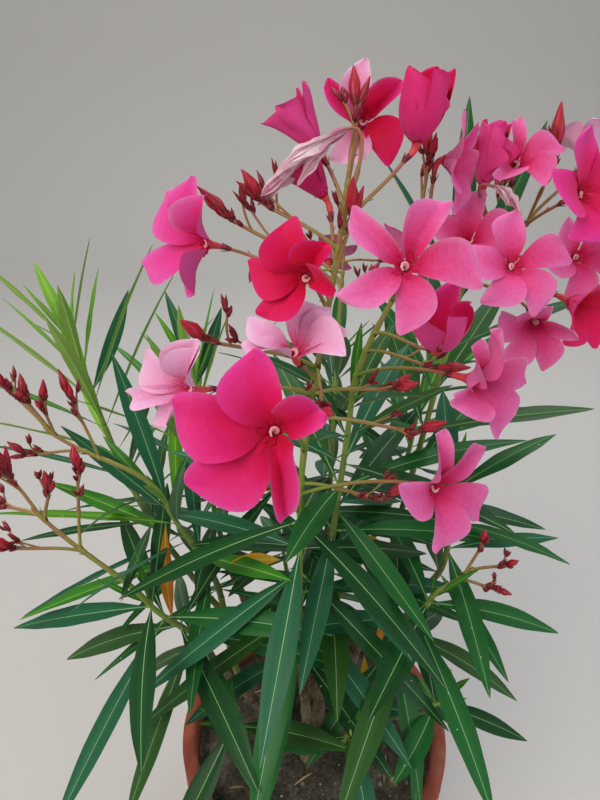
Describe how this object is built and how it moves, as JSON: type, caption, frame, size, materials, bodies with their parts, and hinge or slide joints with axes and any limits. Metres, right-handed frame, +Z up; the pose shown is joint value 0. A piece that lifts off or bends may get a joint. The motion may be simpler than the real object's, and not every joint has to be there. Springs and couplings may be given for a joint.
{
  "type": "potted oleander",
  "caption": "Flowering oleander shrub in a round clay pot: leafy canes in whorls of narrow leaves, topped by loose trusses of pink five-petalled blossom and dark red buds.",
  "frame": {"origin": "centre of the pot's flat underside, at floor level", "axes": "+Z up; -Y is the side that the front blossom leans to, where the picture's viewer stands; +X to that viewer's right"},
  "size_m": [0.5679, 0.4838, 0.8645],
  "materials": {
    "terracotta": "matte",
    "potting_soil": "matte",
    "bark": "matte",
    "green_stem": "satin",
    "foliage": "satin",
    "blossom": "matte"
  },
  "bodies": {
    "root": {"pot": "terracotta", "soil": "potting_soil", "cane_front": "bark", "cane_middle": "bark", "cane_left": "bark", "cane_right": "bark", "cane_back_right": "bark", "cane_back_left": "bark", "cane_back": "bark", "bough_left_inner": "green_stem", "bough_far_left": "green_stem", "bough_right_outer": "green_stem", "bough_back_outer": "green_stem", "bough_low_front": "green_stem", "bough_low_left": "green_stem", "bough_low_right": "green_stem", "bough_low_back": "green_stem", "leaves_front": "foliage", "leaves_middle": "foliage", "leaves_left": "foliage", "leaves_right": "foliage", "leaves_back_right": "foliage", "leaves_back_left": "foliage", "leaves_back": "foliage", "leaves_left_inner": "foliage", "leaves_far_left": "foliage", "leaves_right_outer": "foliage", "leaves_back_outer": "foliage", "leaves_low_front": "foliage", "leaves_low_left": "foliage", "leaves_low_right": "foliage", "leaves_low_back": "foliage", "blossom_front": "blossom", "blossom_middle": "blossom", "blossom_right": "blossom", "blossom_left": "blossom", "blossom_left_inner": "blossom", "blossom_right_low": "blossom", "blossom_back": "blossom"}
  },
  "joints": []
}
